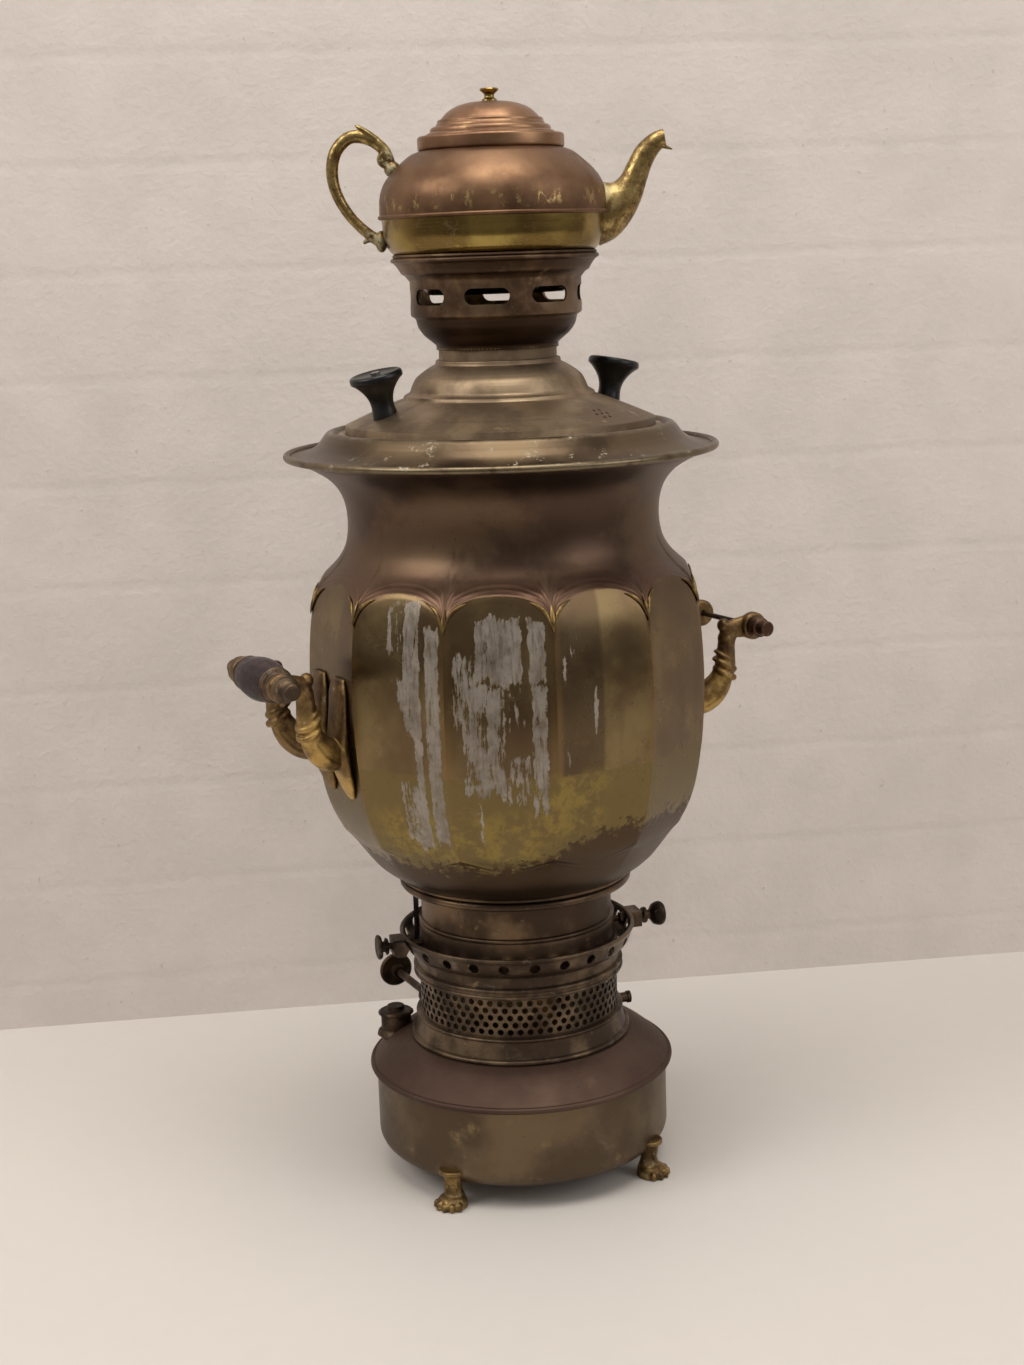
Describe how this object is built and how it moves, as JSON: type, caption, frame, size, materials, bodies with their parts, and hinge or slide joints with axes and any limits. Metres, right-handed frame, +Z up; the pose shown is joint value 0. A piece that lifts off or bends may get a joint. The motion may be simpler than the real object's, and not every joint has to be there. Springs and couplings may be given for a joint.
{
  "type": "samovar with teapot",
  "caption": "Faceted brass urn with a side tap on a round paraffin stove, with carrying handles, a lid, a slotted crown and a small teapot on top.",
  "frame": {"origin": "on the floor under the urn's upright axis", "axes": "+Z up, -Y towards the tap, X through the two carrying handles with the wooden grip on +X"},
  "size_m": [0.3408, 0.3094, 0.6574],
  "materials": {
    "aged_brass": "worn, patinated brass with traces of nickel",
    "dark_brass": "heavily tarnished brass",
    "bright_brass": "cast or spun brass, lightly tarnished",
    "copper": "tarnished copper",
    "tank_brown": "brown patina over spun brass",
    "steel": "old steel",
    "black_steel": "blackened steel",
    "turned_wood": "dark varnished turned wood",
    "black_knob": "moulded black, worn",
    "wick_cotton": "woven cotton, charred at the top"
  },
  "bodies": {
    "stove": {"tank_drum": "tank_brown", "tank_top": "tank_brown", "paw_foot_1": "bright_brass", "paw_foot_2": "bright_brass", "paw_foot_3": "bright_brass", "paw_foot_4": "bright_brass", "filler_neck": "dark_brass", "burner_collar": "dark_brass", "burner_plate": "dark_brass", "burner_basket": "dark_brass", "burner_band": "dark_brass", "outer_wick_tube": "dark_brass", "inner_air_tube": "dark_brass", "flame_spreader": "dark_brass", "spindle_gland": "dark_brass", "spindle_bracket": "dark_brass", "side_stub": "dark_brass", "gallery_ring": "dark_brass", "gallery_fingers": "steel", "left_clamp_block": "dark_brass", "right_clamp_block": "dark_brass", "clamp_nut": "dark_brass", "gallery_strap": "black_steel"},
    "filler_cap": {"filler_cap": "dark_brass"},
    "wick": {"wick": "wick_cotton"},
    "wick_spindle": {"wick_spindle": "steel", "wick_knob": "dark_brass"},
    "left_thumb_screw": {"left_thumb_screw": "aged_brass"},
    "right_thumb_screw": {"right_thumb_screw": "aged_brass"},
    "urn": {"urn_shell": "aged_brass", "base_ring": "aged_brass", "base_sleeve": "aged_brass", "flue_tube": "black_steel", "rim_ring": "aged_brass", "left_handle_arm_front": "bright_brass", "left_handle_arm_rear": "bright_brass", "right_handle_arm_front": "bright_brass", "right_handle_arm_rear": "bright_brass", "left_handle_rod": "steel", "right_handle_rod": "steel", "left_rod_caps": "bright_brass", "right_rod_caps": "copper", "tap_plate": "bright_brass", "tap_body": "bright_brass"},
    "grip": {"handle_grip": "turned_wood", "grip_ferrules": "bright_brass"},
    "tap_key": {"tap_key": "bright_brass", "tap_nut": "steel"},
    "lid": {"lid": "aged_brass", "lid_knob_left": "black_knob", "lid_knob_right": "black_knob", "lid_knob_studs": "steel"},
    "crown": {"crown": "dark_brass"},
    "teapot": {"teapot_bowl": "bright_brass", "teapot_shoulder": "copper", "teapot_neck_ring": "copper", "teapot_spout": "bright_brass", "teapot_handle": "bright_brass"},
    "teapot_lid": {"teapot_lid": "copper", "teapot_lid_knob": "bright_brass"}
  },
  "joints": [
    {"name": "filler_cap_lift", "type": "slide", "parent": "stove", "child": "filler_cap", "axis": [0, 0, 1], "range_m": [0, 0.03]},
    {"name": "wick_knob_turn", "type": "hinge", "parent": "stove", "child": "wick_spindle", "pos_m": [0.0367, -0.00192, 0.091], "axis": [0.0523, 0.9986, 0], "range_deg": [0, 104.5]},
    {"name": "wick_raise", "type": "slide", "parent": "stove", "child": "wick", "axis": [0, 0, 1], "range_m": [0, 0.012]},
    {"name": "left_thumb_screw_turn", "type": "hinge", "parent": "stove", "child": "left_thumb_screw", "pos_m": [0.07336, -0.01559, 0.147], "axis": [0.9781, -0.2079, 0], "range_deg": [0, 360]},
    {"name": "right_thumb_screw_turn", "type": "hinge", "parent": "stove", "child": "right_thumb_screw", "pos_m": [-0.07336, 0.01559, 0.147], "axis": [-0.9781, 0.2079, 0], "range_deg": [0, 360]},
    {"name": "urn_lift", "type": "slide", "parent": "stove", "child": "urn", "axis": [0, 0, 1], "range_m": [0, 0.06]},
    {"name": "grip_spin", "type": "hinge", "parent": "urn", "child": "grip", "pos_m": [0.1596, 0, 0.328], "axis": [0, 1, 0], "continuous": true},
    {"name": "tap_key_turn", "type": "hinge", "parent": "urn", "child": "tap_key", "pos_m": [0, -0.1439, 0.243], "axis": [0, 0, 1], "range_deg": [0, 90]},
    {"name": "lid_lift", "type": "slide", "parent": "urn", "child": "lid", "axis": [0, 0, 1], "range_m": [0, 0.08]},
    {"name": "crown_lift", "type": "slide", "parent": "lid", "child": "crown", "axis": [0, 0, 1], "range_m": [0, 0.05]},
    {"name": "teapot_lift", "type": "slide", "parent": "crown", "child": "teapot", "axis": [0, 0, 1], "range_m": [0, 0.08]},
    {"name": "teapot_lid_lift", "type": "slide", "parent": "teapot", "child": "teapot_lid", "axis": [0, 0, 1], "range_m": [0, 0.04]}
  ],
  "couplings": [
    {"joint": "wick_knob_turn", "follows": "wick_raise", "rad_per_m": 151.5}
  ]
}
